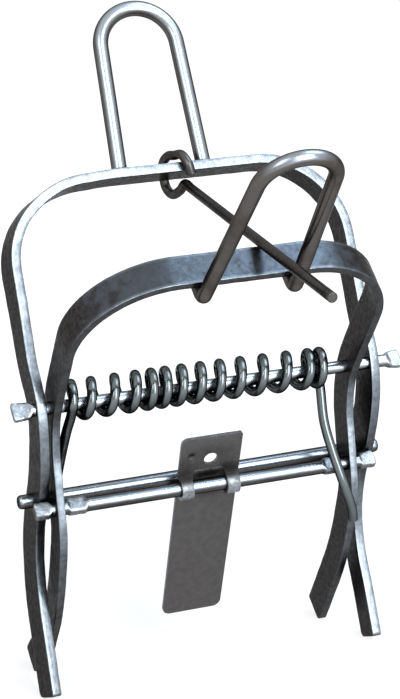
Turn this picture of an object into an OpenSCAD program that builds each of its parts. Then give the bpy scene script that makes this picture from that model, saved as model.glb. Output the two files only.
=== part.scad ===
// Mole trap: two flat-bar frames cross on one axle like scissors. A torsion spring round the
// axle shuts the four legs, the handle loops are squeezed together to open them, and a plate
// hanging between the legs holds them open until a mole moves it.
// First everything is drawn from the axle: X along it, Y to the rear, Z up. Then the whole
// trap is tipped until all four legs stand level, with the origin under its middle.

/* [Strip] */
// Width of the flat bar of both frames
strip_w = 11.5; // [10.5:0.5:13]
// Thickness of the rear frame's bar
rear_t = 3.4; // [2.6:0.1:4]
// Thickness of the front frame's bar
front_t = 2.8; // [2.2:0.1:3.6]

/* [Rear frame] */
// Width over the outer faces of the rear frame
rear_w = 125.4; // [115:0.2:140]
// Reach of the rear hoop above the axle, along its lean
rear_top = 77.9; // [68:0.5:92]
// Outer radius of the rear hoop's corners
rear_corner_r = 31.7; // [20:0.5:38]
// Rearward lean of the rear hoop
rear_lean = 26.9; // [22:0.5:32]
// Distance of the rear hoop's plane behind the axle
rear_back = 2.6; // [2:0.1:3]
// Place of the rear leg's waist, behind the axle
rear_waist = 2.4; // [1.5:0.1:3.5]
// Place of the rear leg's knee, behind the axle
rear_knee = 17.3; // [15:0.1:20]
// Place of the rear leg's tip, behind the axle
rear_tip = 0.8; // [-3:0.1:5]

/* [Front frame] */
// Reach of the front hoop above the axle, along its lean
front_top = 68.2; // [62:0.5:76]
// Outer radius of the front hoop's corners
front_corner_r = 33.7; // [20:0.5:38]
// Forward lean of the front hoop
front_lean = 38.2; // [34:0.5:42]
// Distance of the front hoop's plane behind the axle
front_back = 1.7; // [1:0.1:2.4]
// Bow of the front leg just below the axle
front_bow = 4.3; // [3.5:0.1:5]
// Place of the front leg's waist, behind the axle
front_waist = 0.8; // [0:0.1:1.5]
// Place of the front leg's tip, behind the axle
front_tip = 31.6; // [28:0.1:36]
// Gap between the frames at the left leg
gap_left = 1.8; // [1:0.1:3]
// Gap between the frames at the right leg
gap_right = 5.8; // [4:0.1:7]

/* [Legs] */
// Drop of all four leg tips below the axle
leg_drop = 106.7; // [95:0.1:120]
// Rounding of each tip's lower corner
tip_low_r = 2.4; // [1:0.1:3]
// Rounding of each tip's upper corner
tip_high_r = 1.3; // [0.5:0.1:2.4]

/* [Axle and bars] */
// Diameter of the hinge axle
axle_d = 4.4; // [4:0.1:5]
// Reach of the axle past the rear frame on the left
axle_left = 7.6; // [6:0.1:12]
// Reach of the axle past the rear frame on the right
axle_right = 9.4; // [6:0.1:12]
// Width of the axle's flattened ends
paddle_w = 6.9; // [5.5:0.1:8]
// Thickness of the axle's flattened ends
paddle_t = 2.2; // [1.8:0.1:3]
// Length over which the left end widens
neck_left = 1.5; // [1:0.1:3]
// Length over which the right end widens
neck_right = 2.3; // [1:0.1:3]
// Diameter of both crossbars
bar_d = 5; // [4.4:0.1:5.2]
// Drop of the rear crossbar below the axle
rear_bar_drop = 36.2; // [34:0.1:38]
// Drop of the front crossbar below the axle
front_bar_drop = 36.6; // [35:0.1:39]
// Reach of the rear crossbar past the rear frame
rear_bar_out = 5; // [3.5:0.1:8]
// Width of the flattened places on the front crossbar
crimp_w = 5.4; // [5.3:0.1:6]
// Thickness of the flattened places on the front crossbar
crimp_t = 3.6; // [3:0.1:4.2]
// Gap between a crossbar and the leg that it stops against
stop_gap = 0.4; // [0.3:0.05:0.8]
// Running gap round a pin in its hole
pin_gap = 0.05; // [0.03:0.01:0.1]

/* [Spring] */
// Diameter of the spring's wire
spring_wire = 3.5; // [2.8:0.1:3.6]
// Outside diameter of the spring's coil
spring_d = 14.6; // [14.4:0.1:15.4]
// Lift of the coil's centre above the axle
spring_lift = 1.2; // [0.8:0.1:1.4]
// Gap between the coil's left end and the front frame
spring_left = 5.3; // [4.5:0.1:7]
// Gap between the coil's right end and the front frame
spring_right = 9.3; // [8.5:0.1:11]
// Number of turns
spring_turns = 13; // [11:1:14]

/* [Handles] */
// Diameter of the rear handle's rod
rear_rod = 5.5; // [4.8:0.1:6]
// Distance between the rear handle's feet
rear_feet = 31; // [29:0.5:34]
// Height of the rear handle above its hoop
rear_loop = 61.7; // [50:0.5:75]
// Radius of the rear handle's bend, at the rod's middle
rear_bend = 14.1; // [11:0.1:14.4]
// Diameter of the front handle's rod
front_rod = 4.9; // [4.4:0.1:5.6]
// Distance between the front handle's feet
front_feet = 31.1; // [29:0.1:34]
// Height of the front handle above its hoop
front_loop = 72.3; // [60:0.1:85]
// Radius of the front handle's bend, at the rod's middle
front_bend = 12.4; // [11:0.1:14]
// Forward lean of the front handle
handle_lean = 43; // [40:0.5:46]

/* [Trigger] */
// Width of the trigger plate
plate_w = 22.5; // [18:0.5:28]
// Length of the trigger plate
plate_h = 83.4; // [70:0.1:90]
// Thickness of the trigger plate
plate_t = 1.2; // [1:0.1:1.6]
// Rearward tilt of the hanging plate
plate_tilt = 21; // [15:0.5:25]
// Length of plate above the front crossbar
plate_above = 19.6; // [16:0.1:22]
// Diameter of the plate's hole
plate_hole = 5; // [4:0.1:6]
// Width of each lug that holds the plate to its bar
lug_w = 5.6; // [4:0.1:7]
// Gap between the plate or its lugs and the bar
lug_gap = 0.3; // [0.25:0.05:0.5]

/* [Hook] */
// Diameter of the hook's wire
hook_wire = 3.4; // [2.8:0.1:3.8]
// Length of the hook's straight arm
hook_len = 125.5; // [110:0.5:135]
// Gap between the hook's curl and the rear hoop's bar
hook_gap = 0.4; // [0.3:0.05:0.8]

/* [Hidden] */
$fn = 48;
cut = 1;

// The frames' faces along X
rear_out = rear_w / 2;
rear_in = rear_out - rear_t;
left_out = -rear_in + gap_left;
left_in = left_out + front_t;
right_out = rear_in - gap_right;
right_in = right_out - front_t;
front_mid = (left_out + right_out) / 2;
front_half = (right_out - left_out) / 2;

// Smooth curve through points, with its first and last stretch led out straight
function bend4(a, b, c, d, t) = (2 * b + (c - a) * t + (2 * a - 5 * b + 4 * c - d) * t * t
    + (3 * b - a - 3 * c + d) * t * t * t) / 2;
function pick(p, i) = i < 0 ? 2 * p[0] - p[1]
    : i >= len(p) ? 2 * p[len(p) - 1] - p[len(p) - 2] : p[i];
function curve(p, n) = concat([for (i = [0:len(p) - 2], j = [0:n - 1])
    bend4(pick(p, i - 1), p[i], p[i + 1], pick(p, i + 2), j / n)], [p[len(p) - 1]]);
function unit(v) = v / norm(v);
function side(t) = [-t[1], t[0]];
function edge(p, off) = [for (i = [0:len(p) - 1])
    p[i] + off * unit(side(pick(p, i + 1) - pick(p, i - 1)))];
// Y of an edge at height z, and the share by which its slope lengthens a sideways gap
function edge_at(e, z) = lookup(z, [for (q = e) [q[1], q[0]]]);
function slant(e, z) = norm([edge_at(e, z + 1) - edge_at(e, z - 1), 2]) / 2;

// Each leg is one waved strip. Its middle line starts where the hoop's corner ends.
function on_hoop(back, lean, h) = [back + h * sin(lean), h * cos(lean)];
step = leg_drop / 7;
function below_corner(back, lean, h) = [for (k = [1, 0.85, 0.7]) on_hoop(back, lean, k * h)];
rear_line = curve(concat(below_corner(rear_back, rear_lean, rear_top - rear_corner_r),
    [on_hoop(rear_back, rear_lean, step) + [0.6, 0], [rear_back - 0.1, 0], [rear_waist, -step],
    [rear_waist + 0.31 * (rear_knee - rear_waist), -2 * step],
    [rear_waist + 0.79 * (rear_knee - rear_waist), -3 * step], [rear_knee, -4 * step],
    [rear_knee - 0.13 * (rear_knee - rear_tip), -5 * step],
    [rear_knee - 0.58 * (rear_knee - rear_tip), -6 * step], [rear_tip, -7 * step]]), 4);
front_line = curve(concat(below_corner(front_back, -front_lean, front_top - front_corner_r),
    [[front_back - 1.2, 0], [front_bow, -step], [(front_bow + front_waist) / 2, -2 * step],
    [front_waist, -3 * step], [front_waist + 0.14 * (front_tip - front_waist), -4 * step],
    [front_waist + 0.36 * (front_tip - front_waist), -5 * step],
    [front_waist + 0.67 * (front_tip - front_waist), -6 * step], [front_tip, -7 * step]]), 4);
rear_fore = edge(rear_line, -strip_w / 2);
rear_aft = edge(rear_line, strip_w / 2);
front_fore = edge(front_line, -strip_w / 2);
front_aft = edge(front_line, strip_w / 2);

// Each tip's end: from its front corner round to its rear one. Its centres are led in from
// the middle line's last point along the leg.
function tip_centre(p, s, r) = let (t = unit(p[len(p) - 1] - p[len(p) - 2]))
    p[len(p) - 1] - r * t + s * (strip_w / 2 - r) * side(t);
function tip_end(p, fore_r, aft_r) = let (t = unit(p[len(p) - 1] - p[len(p) - 2]), n = side(t))
    concat([for (i = [0:6]) tip_centre(p, -1, fore_r)
            + fore_r * (sin(15 * i) * t - cos(15 * i) * n)],
        [for (i = [0:6]) tip_centre(p, 1, aft_r) + aft_r * (cos(15 * i) * t + sin(15 * i) * n)]);
rear_end = tip_end(rear_line, tip_high_r, tip_low_r);
front_end = tip_end(front_line, tip_low_r, tip_high_r);

// The trap stands on the rounded lower corners of its tips, which the tilt brings level
rear_foot = tip_centre(rear_line, 1, tip_low_r);
front_foot = tip_centre(front_line, -1, tip_low_r);
stance = atan((rear_foot[1] - front_foot[1]) / (front_foot[0] - rear_foot[0]));
function turned(p) = [p[0] * cos(stance) - p[1] * sin(stance),
    p[0] * sin(stance) + p[1] * cos(stance)];

// The crossbars: each lies in its own frame and stops against the other one
rear_bar = [edge_at(front_aft, -rear_bar_drop)
    + (bar_d / 2 + stop_gap) * slant(front_aft, -rear_bar_drop), -rear_bar_drop];
front_bar = [edge_at(rear_fore, -front_bar_drop)
    - (bar_d / 2 + stop_gap) * slant(rear_fore, -front_bar_drop), -front_bar_drop];

// Hoop bars' middles in the side view
rear_hoop = on_hoop(rear_back, rear_lean, rear_top - rear_t / 2);
front_hoop = on_hoop(front_back, -front_lean, front_top - front_t / 2);

// A tube swept along 3D points, with flat ends. Its rings are carried along without a twist.
function tangents(p) = [for (i = [0:len(p) - 1]) unit(pick(p, i + 1) - pick(p, i - 1))];
function square_to(a, t) = unit(a - (a * t) * t);
function carried(t, a0) = [for (i = 0, a = square_to(a0, t[0]); i < len(t); i = i + 1,
    a = i < len(t) ? square_to(a, t[i]) : a) a];
function rings(p, t, a, r, n) = [for (i = [0:len(p) - 1], j = [0:n - 1])
    p[i] + r * (cos(360 * j / n) * a[i] - sin(360 * j / n) * cross(t[i], a[i]))];
function skin(m, n) = concat(
    [for (i = [1:n - 2]) [0, i + 1, i]],
    [for (k = [0:m - 2], i = [0:n - 1], h = [0, 1])
        let (a = k * n + i, b = k * n + (i + 1) % n)
        h == 0 ? [a, b, b + n] : [a, b + n, a + n]],
    [for (i = [1:n - 2]) [(m - 1) * n, (m - 1) * n + i, (m - 1) * n + i + 1]]);
module tube(p, d, n, a0) {
    t = tangents(p);
    polyhedron(rings(p, t, carried(t, a0), d / 2, n), skin(len(p), n), convexity = 10);
}

// The spring's coil: closest at its right end and in one stretch, open between them
function openness(u) = 1 - 0.62 * exp(-pow(u / 0.6, 2))
    - 0.2 * exp(-pow((u - 0.385 * spring_turns) / 2, 2))
    - 0.44 * exp(-pow((u - 0.635 * spring_turns) / 1.75, 2))
    - 0.27 * exp(-pow((u - spring_turns + 1) / 0.6, 2));
rings_per_turn = 8;
coil_n = spring_turns * rings_per_turn;
coil_run = [for (i = 0, x = 0; i <= coil_n;
    x = x + openness((i + 0.5) / rings_per_turn - 0.5), i = i + 1) x];
coil_right = right_in - spring_right;
coil_left = left_in + spring_left;
coil_r = (spring_d - spring_wire) / 2 * 1.03;
quarter = rings_per_turn / 4;
function coil_x(i) = coil_right - (coil_right - coil_left)
    * (i < 0 ? i * 0.4 : i > coil_n ? coil_run[coil_n] + (i - coil_n) * 0.5
    : coil_run[i]) / coil_run[coil_n];
function coil_point(i) = [coil_x(i), -coil_r * sin(360 * i / rings_per_turn),
    spring_lift + coil_r * cos(360 * i / rings_per_turn)];
coil = [for (i = [-quarter:coil_n + quarter]) coil_point(i)];

// The right leg comes down behind the coil, crosses in front of the bars and bears on the
// front frame's leg. The left leg comes down in front and bears on the rear crossbar.
leg_gap = spring_wire / 2 + 0.35;
bear = -leg_drop * 0.53;
function before_front(z) = edge_at(front_fore, z) - leg_gap * slant(front_fore, z);
right_leg = curve([[right_in + 0.8, before_front(bear), bear],
    [right_in - 0.5, before_front(bear + 5.5), bear + 5.5],
    [right_in - 3.7, before_front(-front_bar_drop - 4), -front_bar_drop - 4],
    [right_in - 6.2, front_bar[0] - 4, -front_bar_drop + 7],
    [right_in - 7.7, 0, -front_bar_drop / 2 - 1],
    [coil_right + 1.7, coil_r * 0.62, spring_lift - 9], coil[0]], 3);
left_leg = curve([coil[len(coil) - 1],
    [left_in + 4, -coil_r * 0.3, spring_lift - 5.4],
    [left_in + 3.4, 2, spring_lift - 11.2],
    [left_in + 2.6, rear_bar[0] - 2.6, -rear_bar_drop + 15.6],
    [left_in + 2.1, rear_bar[0] + bar_d / 2 + leg_gap, -rear_bar_drop + 2.4],
    [left_in + 2.1, rear_bar[0] + bar_d / 2 + leg_gap + 0.5, -rear_bar_drop - 3.4]], 3);
spring_path = concat([for (i = [0:len(right_leg) - 2]) right_leg[i]], coil,
    [for (i = [1:len(left_leg) - 1]) left_leg[i]]);
self_gap = min([for (i = [0:len(spring_path) - 1], j = [0:1:len(spring_path) - 1])
    if (j > i + 4) norm(spring_path[i] - spring_path[j])]) - spring_wire;
echo("least gap between the spring's turns, mm", self_gap);

// The hook curls once round the rear hoop's bar and lies on the front hoop's bar
hook_r = norm([strip_w, rear_t]) / 2 + hook_wire / 2 + hook_gap;
front_corner = front_hoop + strip_w / 2 * [cos(front_lean), sin(front_lean)]
    + front_t / 2 * [-sin(front_lean), cos(front_lean)];
function around(a, k, x) = concat([x], rear_hoop + k * hook_r * [cos(a), sin(a)]);
crest = around(-152, 0.87, 4.7);
rest = concat([5], front_corner + [0, hook_wire / 2 + 0.3]);
arm_end = crest + hook_len * unit(rest - crest);
hook_path = concat(curve([around(178, 1.02, 6.4), around(152, 1.06, 5.6),
    around(120, 0.94, 4.5), around(85, 0.71, 3.3), around(48, 0.8, 2.2), around(12, 0.99, 1.5),
    around(-20, 1.03, 1.5), around(-48, 1.16, 1.9), around(-78, 1.08, 2.7),
    around(-118, 0.86, 3.8), crest, crest + 6 * unit(rest - crest)], 3), [arm_end]);

// Centre of the standing trap's box
mid_x = (axle_right - axle_left) / 2;
rear_loop_mid = on_hoop(rear_back, rear_lean, rear_top + rear_loop - rear_rod / 2);
elbow = front_rod / 2 + 0.3;
handle_base = front_hoop + (strip_w / 2) * [-cos(front_lean), -sin(front_lean)]
    - front_t / 2 * [-sin(front_lean), cos(front_lean)]
    - elbow * [cos(handle_lean), sin(handle_lean)];
front_loop_mid = handle_base + (front_loop - front_rod / 2) * [-sin(handle_lean),
    cos(handle_lean)];
back_y = turned(rear_loop_mid)[0] + rear_rod / 2;
front_y = min(turned(front_loop_mid)[0] - front_rod / 2,
    turned([arm_end[1], arm_end[2]])[0]);
mid_y = (back_y + front_y) / 2;
floor_z = turned(rear_foot)[1] - tip_low_r;
echo("tilt of the stance, degrees", stance, "origin from the axle, mm", [mid_x, mid_y, floor_z]);

module standing() {
    translate([-mid_x, -mid_y, -floor_z]) rotate([stance, 0, 0]) children();
}
// Side view points (Y, Z) as seen in the plane of a hoop that leans
function leaning(p, back, lean) = [for (q = p)
    [(q[0] - back) * cos(lean) - q[1] * sin(lean), (q[0] - back) * sin(lean) + q[1] * cos(lean)]];
module leg(x, t, outline) {
    translate([x, 0, 0]) rotate([90, 0, 90]) linear_extrude(t) polygon(outline);
}
// A leg's outline in the side view: down its front edge, round its tip and up its rear edge
function leg_outline(fore, end, aft) = concat([for (i = [0:len(fore) - 2]) fore[i]], end,
    [for (i = [len(aft) - 2:-1:0]) aft[i]]);
// The bent top of a frame, in the plane that leans with it
module hoop(half, top, r, t) {
    translate([r - half, -strip_w / 2, top - t]) cube([2 * (half - r), strip_w, t]);
    for (s = [0, 1]) mirror([s, 0, 0])
        translate([half - r, 0, top - r]) rotate([90, 0, 0]) rotate_extrude(angle = 90, $fn = 72)
            translate([r - t, -strip_w / 2]) square([t, strip_w]);
}
module hole(x0, x1, p, d) {
    translate([x0, p[0], p[1]]) rotate([0, 90, 0]) cylinder(h = x1 - x0, d = d);
}

module rear_frame() {
    color("dimgray") standing() difference() {
        translate([0, rear_back, 0]) rotate([-rear_lean, 0, 0]) {
            hoop(rear_out, rear_top, rear_corner_r, rear_t);
            for (x = [-rear_out, rear_in]) leg(x, rear_t,
                leaning(leg_outline(rear_fore, rear_end, rear_aft), rear_back, rear_lean));
        }
        hole(-rear_out - cut, rear_out + cut, [0, 0], axle_d + 2 * pin_gap);
        hole(-rear_out - cut, rear_out + cut, rear_bar, bar_d + 2 * pin_gap);
    }
}

module front_frame() {
    color("slategray") standing() difference() {
        translate([front_mid, front_back, 0]) rotate([front_lean, 0, 0]) {
            hoop(front_half, front_top, front_corner_r, front_t);
            for (x = [-front_half, front_half - front_t]) leg(x, front_t,
                leaning(leg_outline(front_fore, front_end, front_aft), front_back, -front_lean));
        }
        hole(left_out - cut, right_out + cut, [0, 0], axle_d + 2 * pin_gap);
        hole(left_out - cut, right_out + cut, front_bar, bar_d + 2 * pin_gap);
    }
}

// A rod bent to a U upright on X: legs from two feet at height 0, tangent to the round top
function loop(feet, height, bend, rod) = let (h = height - bend - rod / 2,
    a = acos(bend / norm([feet / 2, h])) - atan2(h, feet / 2))
    [for (i = [0:12]) let (w = a + (180 - 2 * a) * i / 12)
        [bend * cos(w), 0, h + bend * sin(w)]];
rear_loop_x = -1.9;
module in_rear_hoop() {
    standing() translate([rear_loop_x, rear_back, 0]) rotate([-rear_lean, 0, 0])
        translate([0, 0, rear_top]) children();
}
module rear_handle() {
    foot = [rear_feet / 2, 0, 0];
    color("dimgray") in_rear_hoop() tube(concat([foot, foot + [0, 0, 1]],
        loop(rear_feet, rear_loop, rear_bend, rear_rod), [[-foot[0], 0, 1], -foot]),
        rear_rod, 16, [0, 1, 0]);
}
module rear_handle_welds() {
    color("gray") in_rear_hoop() for (s = [-1, 1]) translate([s * rear_feet / 2, 0, 0])
        difference() {
            cylinder(h = 0.9, d1 = rear_rod + 1.5, d2 = rear_rod + 0.5);
            translate([0, 0, -cut]) cylinder(h = 3, d = rear_rod + 0.1);
        }
}

// The front handle comes down before the bar's front edge, turns under it and is welded there
front_loop_x = -1.3;
foot_len = strip_w * 0.75;
module in_front_hoop() {
    standing() translate([front_loop_x, front_back, 0]) rotate([front_lean, 0, 0])
        translate([0, -strip_w / 2, front_top - front_t]) children();
}
module front_handle() {
    turn = handle_lean - front_lean;
    up = [for (q = loop(front_feet, front_loop, front_bend, front_rod))
        [q[0], -q[2] * sin(turn) - elbow * cos(turn), q[2] * cos(turn) - elbow * sin(turn)]];
    half = [front_feet / 2, 0, 0];
    foot = concat([half + [0, foot_len, -elbow]], [for (i = [0:4])
        let (w = (90 - turn) * i / 4) half - elbow * [0, sin(w), cos(w)]]);
    color("dimgray") in_front_hoop() tube(concat(foot, up,
        [for (i = [len(foot) - 1:-1:0]) [-foot[i][0], foot[i][1], foot[i][2]]]),
        front_rod, 16, [1, 0, 0]);
}
module front_handle_welds() {
    color("gray") in_front_hoop() for (s = [-1, 1]) translate([s * front_feet / 2, 0, 0])
        difference() {
            translate([0, 1.2, 0]) rotate([-90, 0, 0]) intersection() {
                cylinder(h = foot_len - 1.8, d = front_rod + 2);
                translate([-front_rod, 0, 0]) cube([2 * front_rod, 1.4, foot_len]);
            }
            translate([0, 0, -elbow]) rotate([-90, 0, 0]) cylinder(h = foot_len, d = front_rod + 0.04);
        }
}

// A stretch of round rod along X
module rod(x0, x1, d) {
    translate([x0, 0, 0]) rotate([0, 90, 0]) cylinder(h = x1 - x0, d = d);
}
// A hammered stretch: wider and flatter than the rod, its flat sides turned by a
module flat(x0, x1, w, t, a) {
    rotate([a, 0, 0]) translate([x0, 0, 0]) rotate([0, 90, 0]) intersection() {
        cylinder(h = x1 - x0, d = w);
        translate([-w, -t / 2, -cut]) cube([2 * w, t, x1 - x0 + 2 * cut]);
    }
}
module domed(x, s, d) {
    translate([x, 0, 0]) rotate([0, s * 90, 0]) rotate_extrude() intersection() {
        translate([0, d * 0.28 - d * 0.9]) circle(d = d * 1.8);
        square([d / 2, d * 0.28]);
    }
}

module rear_crossbar() {
    x = rear_out + rear_bar_out - bar_d * 0.28;
    color("dimgray") standing() translate([0, rear_bar[0], rear_bar[1]]) {
        rod(-x, x, bar_d);
        domed(x, 1, bar_d);
        domed(-x, -1, bar_d);
    }
}

module hinge_axle() {
    tilt = 40;
    l = -rear_out - 0.8;
    r = rear_out + 3.2;
    color("dimgray") standing() {
        rod(l, r, axle_d);
        for (e = [[l, -rear_out - axle_left, -1, neck_left],
            [r, rear_out + axle_right, 1, neck_right]])
            rotate([tilt, 0, 0]) translate([e[0], 0, 0]) rotate([0, e[2] * 90, 0]) hull() {
                translate([0, 0, -0.6]) cylinder(h = 0.4, d = axle_d - 0.2, $fn = 32);
                translate([-paddle_w * 0.45, -paddle_t / 2, e[3]])
                    cube([paddle_w * 0.9, paddle_t, 0.2]);
                translate([-paddle_w / 2, -paddle_t / 2, abs(e[1] - e[0]) - 0.5])
                    cube([paddle_w, paddle_t, 0.5]);
            }
    }
}

module front_crossbar() {
    tilt = 40;
    left = -rear_out - 1.9;
    right = rear_out - 0.8;
    color("dimgray") standing() translate([0, front_bar[0], front_bar[1]]) {
        rod(left + 5, left_in + 2.3, bar_d);
        rod(left_in + 7.8, right_in - 8.3, bar_d);
        rod(right_in - 3.6, right_out + 2.9, bar_d);
        flat(left, left + 5.4, crimp_w, crimp_t, tilt);
        flat(left_in + 1.9, left_in + 8.2, crimp_w, crimp_t, tilt);
        flat(right_in - 8.7, right_in - 3.2, crimp_w, crimp_t, tilt);
        flat(right_out + 2.5, right, crimp_w, crimp_t, tilt);
    }
}

module torsion_spring() {
    color("darkgray") standing() tube(spring_path, spring_wire, 6, [1, 0, 0]);
}

// The plate hangs behind its bar. Drawn with the bar at the origin and the plate upright.
plate_x = -0.8;
plate_y = bar_d / 2 + lug_gap;
module trigger_plate() {
    ri = bar_d / 2 + lug_gap;
    ro = ri + plate_t;
    color("gray") standing() translate([plate_x, front_bar[0], front_bar[1]])
        rotate([plate_tilt, 0, 0]) difference() {
            union() {
                translate([-plate_w / 2, ri, plate_above - plate_h])
                    cube([plate_w, plate_t, plate_h]);
                for (s = [-1, 1]) translate([s * (plate_w / 2 - lug_w / 2) - lug_w / 2, 0, 0]) {
                    rotate([0, 90, 0]) cylinder(h = lug_w, r = ro);
                    translate([0, 0, -ro]) cube([lug_w, ri + plate_t / 2, 2 * ro]);
                }
            }
            for (s = [-1, 1]) translate([s * (plate_w / 2 - lug_w / 2) - lug_w / 2 - 0.01
                - (s < 0 ? cut : 0), 0, 0]) {
                rotate([0, 90, 0]) cylinder(h = lug_w + 0.02 + cut, r = ri);
                translate([0, 0, -ri]) cube([lug_w + 0.02 + cut, ro + cut, 2 * ri]);
            }
            translate([0.2, 0, plate_above - 10]) rotate([-90, 0, 0])
                cylinder(h = 3 * ro, d = plate_hole);
            translate([-plate_w * 0.24, 0, ri + 1.6]) cube([plate_w * 0.48, 3 * ro, 1]);
            translate([-plate_w * 0.32, ri - 1.2, plate_above - 8]) sphere(r = 1.7);
            plate_corners(ri, ro);
        }
}
// What rounding takes off the plate's four corners
module plate_corners(ri, ro) {
    for (u = [-1, 1], v = [0, 1]) {
        r = v == 0 ? 3 : u < 0 ? 2.5 : 1;
        translate([u * (plate_w / 2 - r), ri - cut, v == 1 ? plate_above - r
            : plate_above - plate_h + r])
            rotate([-90, 0, 0]) difference() {
                translate([u > 0 ? 0 : -r - cut, v == 1 ? -r - cut : 0, 0])
                    cube([r + cut, r + cut, plate_t + 2 * cut]);
                translate([0, 0, -cut]) cylinder(h = plate_t + 4 * cut, r = r);
            }
    }
}

module set_hook() {
    color("darkslategray") standing() tube(hook_path, hook_wire, 12, [1, 0, 0]);
}

rear_frame();
rear_handle();
rear_handle_welds();
rear_crossbar();
hinge_axle();
torsion_spring();
front_frame();
front_handle();
front_handle_welds();
front_crossbar();
trigger_plate();
set_hook();
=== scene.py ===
"""Mole trap of flat steel bar: two crossing frames, a torsion spring, handle loops, a trigger
plate and a setting hook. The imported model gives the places, and this script gives the surfaces.
Sizes are in millimetres from the axle: X along it, Y to the rear, Z up."""
import math
import bpy
import bmesh
from mathutils import Matrix, Vector, noise


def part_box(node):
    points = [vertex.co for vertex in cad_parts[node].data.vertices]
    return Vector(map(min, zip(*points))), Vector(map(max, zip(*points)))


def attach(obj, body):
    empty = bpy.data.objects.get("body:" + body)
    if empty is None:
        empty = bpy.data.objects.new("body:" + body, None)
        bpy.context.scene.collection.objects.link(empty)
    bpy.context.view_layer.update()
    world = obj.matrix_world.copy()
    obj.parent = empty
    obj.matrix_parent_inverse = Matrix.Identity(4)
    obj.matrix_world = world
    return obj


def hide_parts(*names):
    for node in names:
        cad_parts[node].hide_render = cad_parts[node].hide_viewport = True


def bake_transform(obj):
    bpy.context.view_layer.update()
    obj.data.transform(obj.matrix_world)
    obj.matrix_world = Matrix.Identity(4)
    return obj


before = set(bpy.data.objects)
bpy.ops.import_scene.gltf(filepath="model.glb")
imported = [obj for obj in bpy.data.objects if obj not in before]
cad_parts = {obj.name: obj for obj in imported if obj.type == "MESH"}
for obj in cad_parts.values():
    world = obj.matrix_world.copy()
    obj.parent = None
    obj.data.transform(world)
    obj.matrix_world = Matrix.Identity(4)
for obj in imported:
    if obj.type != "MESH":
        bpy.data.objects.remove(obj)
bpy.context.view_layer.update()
MM = 0.001

# ---------------------------------------------------------------- sizes of the trap
# The flat bar: its width, its thickness in each frame, and the rounding of its long edges
STRIP_W, REAR_T, FRONT_T, STRIP_EDGE = 11.5, 3.4, 2.8, 0.27
# The hoops: width, height, corner, lean, and where the lean starts; the legs' waves; the legs' tips
REAR_W, REAR_TOP, REAR_CORNER, REAR_LEAN, REAR_BACK = 125.4, 77.9, 31.7, 26.9, 2.6
REAR_WAIST, REAR_KNEE, REAR_TIP = 2.4, 17.3, 0.8
FRONT_TOP, FRONT_CORNER, FRONT_LEAN, FRONT_BACK = 68.2, 33.7, 38.2, 1.7
FRONT_BOW, FRONT_WAIST, FRONT_TIP = 4.3, 0.8, 31.6
GAP_LEFT, GAP_RIGHT, LEG_DROP = 1.8, 5.8, 106.7
TIP_LOW, TIP_HIGH = 2.4, 1.3
# At a cut end: how far it eases, by how much it thins, and how far back it is bare
CUT_EASE, CUT_THIN, CUT_BARE = 0.4, 0.2, 0.2
# The axle, its reach past the frames, its hammered ends, the necks before them, and how they fan
AXLE_D, AXLE_LEFT, AXLE_RIGHT, PADDLE_W, PADDLE_T = 4.4, 7.6, 9.4, 6.9, 2.2
NECK_LEFT, NECK_RIGHT, FAN_FROM, FAN = 1.5, 2.3, 0.93, 0.14
# The crossbars, how far they lie below the axle, and their hammered places
BAR_D, REAR_DROP, FRONT_DROP, REAR_BAR_OUT = 5.0, 36.2, 36.6, 5.0
REAR_BAR_LIFT, REAR_BAR_TILT = 0.35, 0.3
CRIMP_W, CRIMP_T, STOP_GAP, HAMMER_TURN = 5.4, 3.6, 0.4, 40.0
# The spring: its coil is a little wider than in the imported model, tilted and bowed up
SPRING_WIRE, SPRING_D, SPRING_LIFT, SPRING_LEFT, SPRING_RIGHT, TURNS = 3.5, 14.6, 1.2, 5.3, 9.3, 13
COIL_GROWTH, COIL_TILT, COIL_BOW = 1.015, 0.8, 0.4
# The handles: rod, distance of the feet, length, radius of the bend, and place along X
REAR_ROD, REAR_FEET, REAR_LOOP, REAR_BEND, REAR_LOOP_X = 5.5, 31.0, 61.7, 14.1, -1.9
FRONT_ROD, FRONT_FEET, FRONT_LOOP, FRONT_BEND, FRONT_LOOP_X = 4.9, 31.1, 72.3, 12.4, -1.3
HANDLE_LEAN = 43.0
# The hook: its wire, its straight length, its clearance, and how far its curl is off the middle
HOOK_WIRE, HOOK_LEN, HOOK_GAP = 3.4, 125.5, 0.4
CURL_SHIFT, CURL_DROP = -0.5, 0.25
# The plate: its tilt, its middle, its gap to the bar, and both sides of its lugs
PLATE_TILT, PLATE_X, LUG_GAP, LUG_IN, LUG_OUT = 21.0, -0.8, 0.3, 5.65, 11.25
# Rounding of the rods' cut ends, and height and size of the dents in rolled bar and drawn rod
ROD_EASE, ROLLED_DENTS, DRAWN_DENTS = 0.3, (0.07, 4.0), (0.02, 2.0)
ROD_SIDES, ROD_STEP = 40, 0.45

REAR_OUT = REAR_W / 2
REAR_IN = REAR_OUT - REAR_T
LEFT_OUT = -REAR_IN + GAP_LEFT
LEFT_IN = LEFT_OUT + FRONT_T
RIGHT_OUT = REAR_IN - GAP_RIGHT
RIGHT_IN = RIGHT_OUT - FRONT_T
FRONT_MID, FRONT_HALF = (LEFT_OUT + RIGHT_OUT) / 2, (RIGHT_OUT - LEFT_OUT) / 2


def rad(a):
    return math.radians(a)


def in_scene(name, data):
    """A new object in the scene."""
    thing = bpy.data.objects.new(name, data)
    bpy.context.scene.collection.objects.link(thing)
    return thing


# ---------------------------------------------------------------- curves
def at(p, i):
    """Point i of a line, led on straight past its ends."""
    if i < 0:
        return p[0] * 2 - p[1]
    return p[-1] * 2 - p[-2] if i >= len(p) else p[i]


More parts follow.
